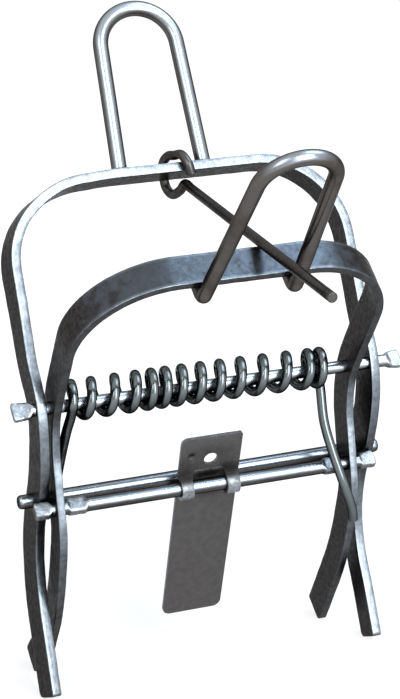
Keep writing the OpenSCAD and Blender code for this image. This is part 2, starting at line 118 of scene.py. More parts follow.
def curve(p, n):
    """Smooth curve through points, n steps a stretch."""
    p, out = [Vector(q) for q in p], []
    for i in range(len(p) - 1):
        a, b, c, d = at(p, i - 1), p[i], p[i + 1], at(p, i + 2)
        for j in range(n):
            t = j / n
            out.append((b * 2 + (c - a) * t + (a * 2 - b * 5 + c * 4 - d) * t * t
                        + (b * 3 - a - c * 3 + d) * t ** 3) / 2)
    return out + [p[-1]]


def directions(p):
    """Which way a line runs at each of its points."""
    return [(at(p, i + 1) - at(p, i - 1)).normalized() for i in range(len(p))]


def on_hoop(back, lean, h):
    """The point at height h up a leaning hoop, in the side view."""
    return Vector((back + h * math.sin(rad(lean)), h * math.cos(rad(lean))))


STEP = LEG_DROP / 7


def leg_line(back, lean, h, below):
    """The middle line of a leg in the side view: down the hoop's side, then through the points below."""
    return curve([on_hoop(back, lean, k * h) for k in (1, 0.85, 0.7)] + below, 4)


REAR_LINE = leg_line(REAR_BACK, REAR_LEAN, REAR_TOP - REAR_CORNER, [
    on_hoop(REAR_BACK, REAR_LEAN, STEP) + Vector((0.6, 0)), (REAR_BACK - 0.1, 0), (REAR_WAIST, -STEP),
    (REAR_WAIST + 0.31 * (REAR_KNEE - REAR_WAIST), -2 * STEP),
    (REAR_WAIST + 0.79 * (REAR_KNEE - REAR_WAIST), -3 * STEP), (REAR_KNEE, -4 * STEP),
    (REAR_KNEE - 0.13 * (REAR_KNEE - REAR_TIP), -5 * STEP),
    (REAR_KNEE - 0.58 * (REAR_KNEE - REAR_TIP), -6 * STEP), (REAR_TIP, -7 * STEP)])
FRONT_LINE = leg_line(FRONT_BACK, -FRONT_LEAN, FRONT_TOP - FRONT_CORNER, [
    (FRONT_BACK - 1.2, 0), (FRONT_BOW, -STEP), ((FRONT_BOW + FRONT_WAIST) / 2, -2 * STEP),
    (FRONT_WAIST, -3 * STEP), (FRONT_WAIST + 0.14 * (FRONT_TIP - FRONT_WAIST), -4 * STEP),
    (FRONT_WAIST + 0.36 * (FRONT_TIP - FRONT_WAIST), -5 * STEP),
    (FRONT_WAIST + 0.67 * (FRONT_TIP - FRONT_WAIST), -6 * STEP), (FRONT_TIP, -7 * STEP)])


def border(line, off):
    """The line moved sideways, in the side view."""
    return [q + off * Vector((-t.y, t.x)) for q, t in zip(line, directions(line))]


def y_at(line, z):
    """Y of a falling line at height z."""
    for a, b in zip(line, line[1:]):
        if b.y <= z <= a.y:
            return a.x + (b.x - a.x) * (a.y - z) / (a.y - b.y)
    return line[0].x if z > line[0].y else line[-1].x


def slant(line, z):
    """How much longer a line is than it is high, near height z."""
    return math.hypot(y_at(line, z + 1) - y_at(line, z - 1), 2) / 2


REAR_FORE = border(REAR_LINE, -STRIP_W / 2)
FRONT_FORE, FRONT_AFT = border(FRONT_LINE, -STRIP_W / 2), border(FRONT_LINE, STRIP_W / 2)


def tip_corner(line, side, r):
    """Middle of a tip's rounded corner, in the side view."""
    t = (line[-1] - line[-2]).normalized()
    return line[-1] - t * r + Vector((-t.y, t.x)) * side * (STRIP_W / 2 - r)


REAR_FOOT, FRONT_FOOT = tip_corner(REAR_LINE, 1, TIP_LOW), tip_corner(FRONT_LINE, -1, TIP_LOW)
STANCE = math.atan2(REAR_FOOT.y - FRONT_FOOT.y, FRONT_FOOT.x - REAR_FOOT.x)
STOP = BAR_D / 2 + STOP_GAP
REAR_BAR = (y_at(FRONT_AFT, -REAR_DROP) + STOP * slant(FRONT_AFT, -REAR_DROP), -REAR_DROP)
FRONT_BAR = (y_at(REAR_FORE, -FRONT_DROP) - STOP * slant(REAR_FORE, -FRONT_DROP), -FRONT_DROP)

low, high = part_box("hinge_axle")
AXLE_AT = Vector((-(AXLE_RIGHT - AXLE_LEFT) / 2 * MM, (low.y + high.y) / 2, (low.z + high.z) / 2))
LEVEL = Matrix.Translation(AXLE_AT) @ Matrix.Rotation(STANCE, 4, "X")
STAND = LEVEL @ Matrix.Scale(MM, 4)


# ---------------------------------------------------------------- meshes
# How much facing along X, along Y either way, and up counts towards the painted sheen
PAINTED_SHEEN_X, PAINTED_SHEEN_Y, PAINTED_SHEEN_Z = -0.17, 0.82, 0.54
STRAIGHT = ((0, 0),)


def mark_painted_sheen_side(mesh):
    """Marks how squarely each place faces up and to the front or the back. The finishes paint the steel lighter
    there as a painted sheen, and leave the undersides and flanks dark as painted shade."""
    mark = mesh.attributes.new("painted_sheen_side", "FLOAT", "POINT")
    mark.data.foreach_set("value", [PAINTED_SHEEN_X * v.normal.x + PAINTED_SHEEN_Y * abs(v.normal.y) + PAINTED_SHEEN_Z * v.normal.z
                                    for v in mesh.vertices])


def smooth_piece(name, mesh, sharp=50):
    """The mesh as a piece, smooth but for the edges that turn by more than an angle."""
    mesh.shade_smooth()
    mesh.set_sharp_from_angle(angle=rad(sharp))
    return in_scene(name, mesh)


def grow(name, rings, edge, along, rough):
    """A closed skin over rings of points, with both ends closed to a middle point. Rings run
    anticlockwise seen from the far end. edge marks the bare parts, along is how far along the
    piece each ring lies, and rough is the height and size of the dents that rolling and hammering
    leave, in millimetres."""
    bm = bmesh.new()
    mark = bm.verts.layers.float.new("edge")
    run = bm.verts.layers.float.new("along")
    n, grid = len(rings[0]), []
    for k, ring in enumerate(rings):
        row = []
        for j, p in enumerate(ring):
            v = bm.verts.new(p)
            v[mark] = edge[k][j]
            v[run] = along[k]
            row.append(v)
        grid.append(row)
    for a, b in zip(grid, grid[1:]):
        for j in range(n):
            i = (j + 1) % n
            bm.faces.new((a[j], a[i], b[i], b[j]))
    for row, last in ((grid[0], False), (grid[-1], True)):
        mid = bm.verts.new(sum((v.co for v in row), Vector()) / n)
        mid[mark] = row[0][mark]
        mid[run] = row[0][run]
        for j in range(n):
            i = (j + 1) % n
            bm.faces.new((row[j], row[i], mid) if last else (row[i], row[j], mid))
    bm.normal_update()
    high, size = rough
    for v in bm.verts:
        v.co += v.normal * high * (noise.noise(v.co / size) + 0.5 * noise.noise(v.co / size * 2.3))
    bm.transform(STAND)
    mesh = bpy.data.meshes.new(name)
    bm.to_mesh(mesh)
    bm.free()
    mark_painted_sheen_side(mesh)
    return smooth_piece(name, mesh)


def spaced(length, step):
    """Even places from 0 to length, at most a step apart."""
    n = max(2, math.ceil(length / step))
    return [length * i / n for i in range(n + 1)]


def strip_section(w, t, r):
    """Points round a flat bar's section, with rounded corners, and which of them lie on its
    narrow sides."""
    a, b, out = w / 2, t / 2, []
    for s, (cu, cv) in enumerate(((a - r, b - r), (-a + r, b - r), (-a + r, -b + r), (a - r, -b + r))):
        for k in range(4):
            turn = rad(90 * s + 30 * k)
            out.append((cu + r * math.cos(turn), cv + r * math.sin(turn)))
        (u0, v0), (u1, v1) = out[-1], ((-a + r, b), (-a, -b + r), (a - r, -b), (a, b - r))[s]
        m = max(2, round(math.hypot(u1 - u0, v1 - v0)))
        out += [(u0 + (u1 - u0) * i / m, v0 + (v1 - v0) * i / m) for i in range(1, m)]
    return out, [max(0.0, min(1.0, (abs(u) - (a - 1.5 * r)) / r)) for u, _ in out]


def between(table, x):
    """Value at x of a table of (place, value) rows in rising places, eased between them."""
    for (x0, v0), (x1, v1) in zip(table, table[1:]):
        if x <= x1:
            k = min(1.0, max(0.0, (x - x0) / (x1 - x0)))
            return v0 + (v1 - v0) * k * k * (3 - 2 * k)
    return table[-1][1]


def corner_reach(r, d):
    """Half width of a bar at distance d from its cut end, on a side whose corner has radius r."""
    return STRIP_W / 2 - (r - math.sqrt(max(0.0, r * r - (r - d) ** 2)) if d < r else 0.0)


def flat_bar(name, half, top, corner, thick, back, lean, line, mid, tip_fore, tip_aft, left_turn=STRAIGHT,
             right_turn=STRAIGHT, left_out=STRAIGHT, right_out=STRAIGHT, sag=STRAIGHT):
    """A frame: one flat bar bent to a hoop, with a waved leg at each end. The tables give how far
    the hand-bent bar is turned about its own middle at each height, in degrees, how far its sides
    stand out at each height, and how far its top sags at each place along X."""
    stations, lean_r = [], rad(lean)
    wide = Vector((0, math.cos(lean_r), -math.sin(lean_r)))

    def station(c, u, v, turn, to_end=math.inf):
        a = rad(turn)
        stations.append((c, u * math.cos(a) + v * math.sin(a), v * math.cos(a) - u * math.sin(a), to_end))

    def hoop(x, h, out, table):
        p = on_hoop(back, lean, h - between(sag, x))
        x += between(right_out, p.y) if x > 0 else -between(left_out, p.y)
        station(Vector((mid + x, p.x, p.y)), wide,
                Vector((out[0], out[1] * math.sin(lean_r), out[1] * math.cos(lean_r))), between(table, p.y))
    fine = curve(line, 4)
    end, last = fine[-1], (fine[-1] - fine[-2]).normalized()
    close = (2.8, 2.4, 2.0, 1.6, 1.25, 0.9, 0.65, 0.4, 0.22, 0.1, 0.03, 0.0)
    fine = [q for q in fine if (q - end).length > close[0] + 0.4] + [end - last * d for d in close]
    legs = [(q, t, (q - end).length) for q, t in zip(fine, directions(fine))]
    x = half - thick / 2

    def leg(s, out, table, rows):
        for q, t, d in rows:
            station(Vector((mid + s * x + s * between(out, q.y), q.x, q.y)), Vector((0, -t.y, t.x)),
                    Vector((s, 0, 0)), between(table, q.y), d)
    leg(-1, left_out, left_turn, reversed(legs))
    r = corner - thick / 2
    arc = spaced(90, 2)
    for w in arc[1:-1]:
        c, s = -math.cos(rad(w)), math.sin(rad(w))
        hoop(-(half - corner) + r * c, top - corner + r * s, (c, s), left_turn)
    for s in spaced(2 * (half - corner), 1.2):
        hoop(-(half - corner) + s, top - thick / 2, (0, 1), STRAIGHT)
    for w in reversed(arc[1:-1]):
        c, s = math.cos(rad(w)), math.sin(rad(w))
        hoop(half - corner + r * c, top - corner + r * s, (c, s), right_turn)
    leg(1, right_out, right_turn, legs)
    section, narrow = strip_section(STRIP_W, thick, STRIP_EDGE)
    rings, marks, along, run = [], [], [], 0.0
    for k, (c, u, v, d) in enumerate(stations):
        if k:
            run += (c - stations[k - 1][0]).length
        fore, aft = (2 * corner_reach(rr, d) / STRIP_W for rr in (tip_fore, tip_aft))
        thin = 1 - CUT_THIN * max(0.0, 1 - d / CUT_EASE) ** 2
        rings.append([c + u * a * (aft if a > 0 else fore) + v * b * thin for a, b in section])
        marks.append([1.0] * len(narrow) if d < CUT_BARE else narrow)
        along.append(run * MM)
    return grow(name, rings, marks, along, ROLLED_DENTS)


def hammered(name, x0, x1, y, z, round_d, flats, dome, rough, fan=0.0):
    """A round rod along X. flats are hammered places as (from, to, width, thickness, easing), and
    each blends into the round rod over its easing. dome is the length of its rounded ends, rough
    the height of the hammer's dents, and fan the share by which its flat ends widen outwards."""
    end_face = 0.55

    def size(x):
        a = b = round_d / 2
        p, mark = 2.0, 0.0
        for f0, f1, w, t, ease in flats:
            k = min(1.0, max(0.0, min((x - f0) / ease + 0.5, (f1 - x) / ease + 0.5)))
            k = k * k * (3 - 2 * k)
            a, b, p, mark = a + (w / 2 - a) * k, b + (t / 2 - b) * k, p + 5 * k, max(mark, k)
        near = min(x - x0, x1 - x)
        a *= 1 + fan * mark * (0.5 - near / 6)
        if near < dome:
            q = math.sqrt(max(0.0, 1 - (1 - near / dome) ** 2))
            q = end_face + (1 - end_face) * q
            a, b = a * q, b * q
        return a, b, p, mark
    xs = [x0 + d for d in (0, dome * 0.1, dome * 0.3, dome * 0.6)]
    xs += [x0 + dome + s for s in spaced(x1 - x0 - 2 * dome, ROD_STEP)]
    xs += [x1 - d for d in (dome * 0.6, dome * 0.3, dome * 0.1, 0)]
    c, s = math.cos(rad(HAMMER_TURN)), math.sin(rad(HAMMER_TURN))
    u, v = Vector((0, c, s)), Vector((0, -s, c))
    rings, marks = [], []
    for x in xs:
        a, b, p, mark = size(x)
        ring = []
        for j in range(ROD_SIDES):
            w = 2 * math.pi * j / ROD_SIDES
            c, s = math.cos(w), math.sin(w)
            m = (abs(c) ** p + abs(s) ** p) ** (-1 / p)
            q = Vector((x, y, z)) + u * a * c * m + v * b * s * m
            if mark > 0.02:
                q += (u * c + v * s) * mark * rough * noise.noise(Vector((x, c * 4, s * 4)) * 1.3)
            ring.append(q)
        rings.append(ring)
        marks.append([mark] * ROD_SIDES)
    return grow(name, rings, marks, [x * MM for x in xs], DRAWN_DENTS)


# ---------------------------------------------------------------- rods and wires by nodes
COLOUR, NUMBER, VECTOR = "NodeSocketColor", "NodeSocketFloat", "NodeSocketVector"
SHAPE, FINISH = "NodeSocketGeometry", "NodeSocketMaterial"


class Nodes:
    """A node tree that is filled by short calls."""

    def __init__(self, tree):
        self.tree = tree

    def link(self, source, target):
        self.tree.links.new(source, target)

    def add(self, kind, put=None, **props):
        """A node. put gives an input its value, or the socket that feeds it."""
        node = self.tree.nodes.new(kind)
        for key, value in props.items():
            setattr(node, key, value)
        for key, value in (put or {}).items():
            if isinstance(value, bpy.types.NodeSocket):
                self.link(value, node.inputs[key])
            else:
                node.inputs[key].default_value = value
        return node

    def math(self, op, a, b=0.0, clamp=False):
        return self.add("ShaderNodeMath", {0: a, 1: b}, operation=op, use_clamp=clamp).outputs[0]

    def place(self):
        """Where a point lies, in metres."""
        return self.add("ShaderNodeTexCoord").outputs["Object"]

    def mark(self, name):
        """What the piece's own marks say at a place."""
        return self.add("ShaderNodeAttribute", attribute_name=name).outputs["Fac"]

    def cloud(self, scale, detail, rough=0.5, seed=None):
        """Noise over the piece. A seed gives another field of the same kind."""
        put = {"Vector": self.place(), "Scale": scale, "Detail": detail, "Roughness": rough}
        if seed is None:
            return self.add("ShaderNodeTexNoise", put).outputs[0]
        return self.add("ShaderNodeTexNoise", {**put, "W": seed}, noise_dimensions="4D").outputs[0]

    def ramp(self, value, low, high, to_low=0.0, to_high=1.0, kind="LINEAR"):
        """A value of low to high, brought to to_low to to_high."""
        return self.add("ShaderNodeMapRange", {
            "Value": value, "From Min": low, "From Max": high, "To Min": to_low, "To Max": to_high},
            interpolation_type=kind).outputs[0]

    def faded(self, value, share):
        """A value of 0 to 1, whose distance from 1 counts by a share."""
        return self.math("SUBTRACT", 1.0, self.math("MULTIPLY", self.math("SUBTRACT", 1.0, value), share))

    def mix(self, share, under, over):
        """The colour under where share is 0, and the colour over where it is 1."""
        return self.add("ShaderNodeMix", {0: share, 6: under, 7: over}, data_type="RGBA").outputs[2]


def tree_of(name, kind, inputs, outputs):
    """A node group with named sockets: (name, type, default) and (name, type)."""
    group = bpy.data.node_groups.new(name, kind)
    for label, sort, value in inputs:
        s = group.interface.new_socket(label, in_out="INPUT", socket_type=sort)
        if value is not None:
            s.default_value = value
    for label, sort in outputs:
        group.interface.new_socket(label, in_out="OUTPUT", socket_type=sort)
    n = Nodes(group)
    return group, n, n.add("NodeGroupInput").outputs, n.add("NodeGroupOutput").inputs


def bent_rod_tree():
    """Turns a line of points into a round rod with eased ends."""
    group, n, given, out = tree_of("bent_rod", "GeometryNodeTree", [
        ("Geometry", SHAPE, None), ("Diameter", NUMBER, 0.005), ("Sides", "NodeSocketInt", 24),
        ("End rounding", NUMBER, 0.0004), ("Finish", FINISH, None)], [("Geometry", SHAPE)])
    ease = given["End rounding"]
    line = n.add("GeometryNodeMeshToCurve", {"Mesh": given["Geometry"]}).outputs[0]
    place = n.add("GeometryNodeSplineParameter").outputs["Length"]
    whole = n.add("GeometryNodeSplineLength").outputs["Length"]
    to_end = n.math("MINIMUM", place, n.math("SUBTRACT", whole, place))
    inner = n.math("SUBTRACT", 1.0, n.math("DIVIDE", to_end, ease, clamp=True))
    drop = n.math("SUBTRACT", 1.0, n.math("SQRT", n.math("SUBTRACT", 1.0, n.math("MULTIPLY", inner, inner))))
    radius = n.math("SUBTRACT", n.math("MULTIPLY", given["Diameter"], 0.5), n.math("MULTIPLY", drop, ease))
    cut = n.math("LESS_THAN", to_end, n.math("MULTIPLY", ease, 1.1))
    for label, value in (("along", place), ("edge", cut)):
        line = n.add("GeometryNodeStoreNamedAttribute", {"Geometry": line, "Name": label, "Value": value},
                     data_type="FLOAT", domain="POINT").outputs[0]
    ring = n.add("GeometryNodeCurvePrimitiveCircle", {"Resolution": given["Sides"], "Radius": 1.0}).outputs[0]
    mesh = n.add("GeometryNodeCurveToMesh", {
        "Curve": line, "Profile Curve": ring, "Scale": radius, "Fill Caps": True}).outputs[0]
    mesh = n.add("GeometryNodeSetShadeSmooth", {"Geometry": mesh}).outputs[0]
    mesh = n.add("GeometryNodeRealizeInstances", {"Geometry": mesh}).outputs[0]
    mesh = n.add("GeometryNodeSetMaterial", {"Geometry": mesh, "Material": given["Finish"]}).outputs[0]
    n.link(mesh, out[0])
    return group


UNWOUND = -9.0


def wound_spring_tree(rod):
    """Winds the points that have a turn number round the axle, then makes the whole line a rod.
    Each point's reach says how far along the coil it lies."""
    group, n, given, out = tree_of("wound_spring", "GeometryNodeTree", [
        ("Geometry", SHAPE, None), ("Wire", NUMBER, 0.003), ("Coil radius", NUMBER, 0.006),
        ("Right end", NUMBER, 0.04), ("Left end", NUMBER, -0.05), ("Lift", NUMBER, 0.0014), ("Tilt", NUMBER, 0.0),
        ("Bow", NUMBER, 0.0), ("Finish", FINISH, None)], [("Geometry", SHAPE)])
    turn, reach = (n.add("GeometryNodeInputNamedAttribute", {"Name": label}, data_type="FLOAT").outputs[0]
                   for label in ("turn", "reach"))
    angle = n.math("MULTIPLY", turn, 2 * math.pi)
    whole = n.math("SUBTRACT", given["Right end"], given["Left end"])
    x = n.math("SUBTRACT", given["Right end"], n.math("MULTIPLY", whole, reach))
    y = n.math("MULTIPLY", n.math("SINE", angle), n.math("MULTIPLY", given["Coil radius"], -1.0))
    level = n.math("ADD", given["Lift"], n.math("MULTIPLY", given["Tilt"], n.math("SUBTRACT", reach, 0.5)))
    hump = n.math("MULTIPLY", n.math("MULTIPLY", reach, n.math("SUBTRACT", 1.0, reach)), 4.0)
    level = n.math("ADD", level, n.math("MULTIPLY", given["Bow"], hump))
    z = n.math("ADD", level, n.math("MULTIPLY", n.math("COSINE", angle), given["Coil radius"]))
    spot = n.add("ShaderNodeCombineXYZ", {"X": x, "Y": y, "Z": z}).outputs[0]
    wound = n.math("GREATER_THAN", turn, UNWOUND + 1)
    line = n.add("GeometryNodeSetPosition", {
        "Geometry": given["Geometry"], "Selection": wound, "Position": spot}).outputs[0]
    skin = n.add("GeometryNodeGroup", {
        "Geometry": line, "Diameter": given["Wire"], "Finish": given["Finish"]}, node_tree=rod).outputs[0]
    n.link(skin, out[0])
    return group


def eased(points, e):
    """The same line with close points near both ends, for their rounding."""
    def near(a, b):
        return [a.lerp(b, d * e / (b - a).length) for d in (0.05, 0.2, 0.5, 1.0)]
    head, tail = near(points[0], points[1]), near(points[-1], points[-2])
    return [points[0]] + head + points[1:-1] + tail[::-1] + [points[-1]]


def by_nodes(name, points, group, values, marks=None):
    """Runs a node tree over a line of points in metres and keeps the result as a plain mesh."""
    line = bpy.data.meshes.new(name + "_line")
    line.from_pydata([tuple(p) for p in points], [(i, i + 1) for i in range(len(points) - 1)], [])
    for key, numbers in (marks or {}).items():
        line.attributes.new(key, "FLOAT", "POINT").data.foreach_set("value", numbers)
    carrier = in_scene(name + "_line", line)
    modifier = carrier.modifiers.new("shape", "NODES")
    modifier.node_group = group
    for item in group.interface.items_tree:
        if item.in_out == "INPUT" and item.name in values:
            modifier[item.identifier] = values[item.name]
    graph = bpy.context.evaluated_depsgraph_get()
    mesh = bpy.data.meshes.new_from_object(carrier.evaluated_get(graph))
    carrier.modifiers.remove(modifier)
    bpy.data.objects.remove(carrier)
    bm = bmesh.new()
    bm.from_mesh(mesh)
    bmesh.ops.remove_doubles(bm, verts=bm.verts, dist=1e-7)
    if bm.calc_volume(signed=True) < 0:
        bmesh.ops.reverse_faces(bm, faces=bm.faces)
    bm.to_mesh(mesh)
    bm.free()
    mesh.name = name
    mark_painted_sheen_side(mesh)
    return smooth_piece(name, mesh)


# ---------------------------------------------------------------- finishes
def steel_tone_group():
    """Patches of darker and lighter steel."""
    group, n, given, out = tree_of("steel_tone", "ShaderNodeTree", [
        ("Dark", COLOUR, (0.04, 0.035, 0.03, 1)), ("Light", COLOUR, (0.2, 0.2, 0.21, 1)),
        ("Patch size", NUMBER, 0.01), ("Balance", NUMBER, 0.5), ("Seed", NUMBER, 0.0)],
        [("Color", COLOUR), ("Mask", NUMBER)])
    big = n.cloud(n.math("DIVIDE", 1.0, given["Patch size"]), 8.0, 0.62, given["Seed"])
    soft = 0.09
    spread = n.ramp(big, n.math("SUBTRACT", given["Balance"], soft), n.math("ADD", given["Balance"], soft))
    n.link(n.mix(spread, given["Dark"], given["Light"]), out["Color"])
    n.link(spread, out["Mask"])
    return group


def pits_group():
    """Fine grain and scattered pits in rolled or hammered steel, as a height."""
    group, n, given, out = tree_of("steel_pits", "ShaderNodeTree", [
        ("Grain size", NUMBER, 0.0004), ("Pit size", NUMBER, 0.002), ("Pits", NUMBER, 0.5)], [("Height", NUMBER)])
    grain = n.cloud(n.math("DIVIDE", 1.0, given["Grain size"]), 3.0, 0.6)
    cells = n.add("ShaderNodeTexVoronoi", {"Vector": n.place(), "Scale": n.math("DIVIDE", 1.0, given["Pit size"])},
                  feature="SMOOTH_F1").outputs["Distance"]
    deep = n.math("MULTIPLY", n.ramp(cells, 0.1, 0.5), given["Pits"])
    n.link(n.math("ADD", grain, deep), out["Height"])
    return group


def bare_edge_group():
    """Where sheared or hammered steel is bare: the marked parts, mottled, with the fine ticks that
    the shears leave across a bar's narrow side."""
    group, n, given, out = tree_of("bare_edge", "ShaderNodeTree", [
        ("Under", COLOUR, (0.1, 0.1, 0.1, 1)), ("Bare", COLOUR, (0.6, 0.6, 0.62, 1)),
        ("Mottle size", NUMBER, 0.003), ("Mottle", NUMBER, 0.4), ("Broken", NUMBER, 0.2)],
        [("Color", COLOUR), ("Mask", NUMBER)])
    tick = 0.0007
    ticks = n.add("ShaderNodeTexNoise", {"W": n.math("DIVIDE", n.mark("along"), tick), "Detail": 1.0},
                  noise_dimensions="1D").outputs[0]
    ticks = n.ramp(ticks, 0.3, 0.6, 0.82)
    mottle = n.ramp(n.cloud(n.math("DIVIDE", 1.0, given["Mottle size"]), 6.0, 0.65), 0.38, 0.58)
    shade = n.math("MULTIPLY", ticks, n.faded(mottle, given["Mottle"]))
    tint = n.add("ShaderNodeVectorMath", {0: given["Bare"], "Scale": shade}, operation="SCALE").outputs[0]
    gaps = n.ramp(n.cloud(2600.0, 3.0, 0.6), 0.4, 0.6)
    mask = n.math("MULTIPLY", n.mark("edge"), n.faded(gaps, given["Broken"]), clamp=True)
    n.link(n.mix(mask, given["Under"], tint), out["Color"])
    n.link(mask, out["Mask"])
    return group


def painted_sheen_side_group():
    """Painted sheen: the steel painted lighter on its marked side, which faces up and to the front or the back, with
    a ragged border.
    """
    group, n, given, out = tree_of("painted_sheen_side", "ShaderNodeTree", [
        ("Under", COLOUR, (0.1, 0.1, 0.1, 1)), ("Bright", COLOUR, (0.5, 0.5, 0.5, 1)), ("From", NUMBER, 0.6),
        ("To", NUMBER, 0.9), ("Ragged", NUMBER, 0.1)], [("Color", COLOUR)])
    uneven = n.math("MULTIPLY", n.math("SUBTRACT", n.cloud(300.0, 3.0), 0.5), given["Ragged"])
    side = n.math("ADD", n.mark("painted_sheen_side"), uneven)
    mask = n.ramp(side, given["From"], given["To"], kind="SMOOTHSTEP")
    n.link(n.mix(mask, given["Under"], given["Bright"]), out["Color"])
    return group


def shadow_and_grease_group():
    """A soft dark spot round a place, broken up by noise: painted shadow where it stands for shade, and old grease
    where it stands for stains.
    """
    group, n, given, out = tree_of("shadow_and_grease", "ShaderNodeTree", [
        ("Under", COLOUR, (0.1, 0.1, 0.1, 1)), ("Shadow and grease", COLOUR, (0.02, 0.016, 0.014, 1)),
        ("Place", VECTOR, (0, 0, 0)), ("Reach", VECTOR, (0.01, 0.01, 0.01)), ("Strength", NUMBER, 0.5)],
        [("Color", COLOUR)])
    off = n.add("ShaderNodeVectorMath", {0: n.place(), 1: given["Place"]}, operation="SUBTRACT").outputs[0]
    off = n.add("ShaderNodeVectorMath", {0: off, 1: given["Reach"]}, operation="DIVIDE").outputs[0]
    far = n.add("ShaderNodeVectorMath", {0: off}, operation="LENGTH").outputs["Value"]
    uneven = n.math("MULTIPLY", n.math("SUBTRACT", n.cloud(700.0, 4.0, 0.6), 0.5), 0.9)
    near = n.ramp(n.math("ADD", far, uneven), 1.0, 0.35, kind="SMOOTHSTEP")
    n.link(n.mix(n.math("MULTIPLY", near, given["Strength"]), given["Under"], given["Shadow and grease"]), out["Color"])
    return group


TONE, PITS, BARE, PAINTED_SHEEN, SHADOW_AND_GREASE = steel_tone_group(), pits_group(), bare_edge_group(), painted_sheen_side_group(), shadow_and_grease_group()


def steel(name, dark, light, bare, rough, patch, seed, sheen_colour=None, painted_sheen=(0.6, 0.9), ragged=0.1, edge_sheen_colour=None,
          balance=0.5, mottle=0.4, mottle_size=0.003, dull=0.12, bare_rough=0.35, metal=1.0, rim=0.5,
          grain=0.0004, pit=0.002, pits=0.4, bump=0.2):
    """A steel finish: patches of tone that are duller where dark, a painted sheen (a lighter colour on the sides
    that face up and to the front or back), bare edges that carry a painted sheen of their own, and grain with pits.
    Sizes are in metres."""
    m = bpy.data.materials.new(name)
    m.use_nodes = True
    n = Nodes(m.node_tree)
    shader = m.node_tree.nodes["Principled BSDF"].inputs

    def effect(tree, **put):
        return n.add("ShaderNodeGroup", {key.replace("_", " "): value for key, value in put.items()},
                     node_tree=tree).outputs
    tone = effect(TONE, Dark=(*dark, 1), Light=(*light, 1), Patch_size=patch, Balance=balance, Seed=seed)
    # Painted sheen: a lighter colour on the sides that face up and to the front or back
    side = effect(PAINTED_SHEEN, Under=tone["Color"], Bright=(*(sheen_colour or light), 1), From=painted_sheen[0], To=painted_sheen[1],
                  Ragged=ragged)
    # Painted sheen on the bare edges as well
    edge_sheen = effect(PAINTED_SHEEN, Under=(*bare, 1), Bright=(*(edge_sheen_colour or bare), 1), From=0.42, To=0.92)
    edge = effect(BARE, Under=side["Color"], Bare=edge_sheen["Color"], Mottle_size=mottle_size, Mottle=mottle)
    pitted = effect(PITS, Grain_size=grain, Pit_size=pit, Pits=pits)
    n.link(edge["Color"], shader["Base Color"])
    skin = n.ramp(tone["Mask"], 0.0, 1.0, rough + dull, rough)
    blend = n.add("ShaderNodeMix", {0: edge["Mask"], 2: skin, 3: bare_rough}, data_type="FLOAT").outputs[0]
    n.link(blend, shader["Roughness"])
    shader["Metallic"].default_value = metal
    shader["Specular Tint"].default_value = (rim, rim, rim, 1)
    hill = n.add("ShaderNodeBump", {"Height": pitted["Height"], "Strength": bump, "Distance": 0.0002})
    n.link(hill.outputs[0], shader["Normal"])
    return m


# In each finish the sheen colours are painted sheen: lighter colours laid on the sides that face up and to the front
# or back, and on the bare edges there.
# What all rods share, what the smoother ones add, and what the hammered ones add to that
DRAWN = dict(patch=0.02, balance=0.45, grain=0.0003)
SMOOTH = dict(DRAWN, dull=0.06, pit=0.0012, bump=0.06)
FLATTENED = dict(SMOOTH, seed=2.0, edge_sheen_colour=(0.5, 0.54, 0.58), mottle_size=0.0018, bare_rough=0.42)
BAR = steel("flat_bar_steel", (0.034, 0.028, 0.025), (0.05, 0.05, 0.053), (0.08, 0.08, 0.083),
            sheen_colour=(0.075, 0.085, 0.1), painted_sheen=(0.58, 0.98), ragged=1.0, edge_sheen_colour=(0.31, 0.35, 0.395), patch=0.0016,
            mottle=0.35, mottle_size=0.0022, rough=0.28, dull=0.14, bare_rough=0.28, grain=0.0005, pit=0.0025,
            seed=1.0)
ROD = steel("rod_steel", (0.05, 0.043, 0.038), (0.075, 0.07, 0.068), (0.3, 0.32, 0.34), sheen_colour=(0.32, 0.37, 0.42),
            painted_sheen=(0.66, 1.0), rough=0.26, rim=0.2, **FLATTENED)
# The axle steel is the rod steel made lighter, with a stronger painted sheen: painted light on the axle between the
# coils, which shade it.
AXLE = steel("axle_lit_steel", (0.08, 0.075, 0.072), (0.125, 0.122, 0.121), (0.3, 0.32, 0.34), sheen_colour=(0.45, 0.5, 0.55),
             painted_sheen=(0.5, 0.95), rough=0.24, rim=0.3, **FLATTENED)
REAR_GRIP = steel("rear_grip_steel", (0.075, 0.068, 0.063), (0.11, 0.105, 0.103), (0.3, 0.32, 0.34),
                  sheen_colour=(0.36, 0.41, 0.46), painted_sheen=(0.6, 1.0), rough=0.26, rim=0.35, seed=8.0, **SMOOTH)
GRIP = steel("front_grip_steel", (0.072, 0.061, 0.054), (0.11, 0.1, 0.093), (0.3, 0.3, 0.3),
             sheen_colour=(0.3, 0.33, 0.37), painted_sheen=(0.58, 0.97), rough=0.25, dull=0.08, rim=0.4, bump=0.08, seed=7.0,
             **DRAWN)
SPRING = steel("spring_steel", (0.045, 0.046, 0.045), (0.072, 0.077, 0.078), (0.25, 0.25, 0.25),
               sheen_colour=(0.165, 0.186, 0.192), painted_sheen=(0.35, 0.95), patch=0.006, balance=0.48, rough=0.18, dull=0.06,
               rim=0.25, grain=0.0003, pit=0.0015, bump=0.08, seed=3.0)
WIRE = steel("hook_wire_steel", (0.036, 0.031, 0.028), (0.062, 0.057, 0.054), (0.1, 0.095, 0.09),
             sheen_colour=(0.1, 0.097, 0.094), painted_sheen=(0.4, 0.95), patch=0.008, rough=0.28, dull=0.1, grain=0.0003,
             pit=0.0012, bump=0.12, seed=4.0)
SHEET = steel("plate_steel", (0.098, 0.09, 0.087), (0.112, 0.105, 0.104), (0.36, 0.38, 0.4), patch=0.0025,
              mottle=0.5, mottle_size=0.0012, rough=0.46, dull=0.06, metal=0.7, grain=0.0006, pit=0.003, seed=5.0)
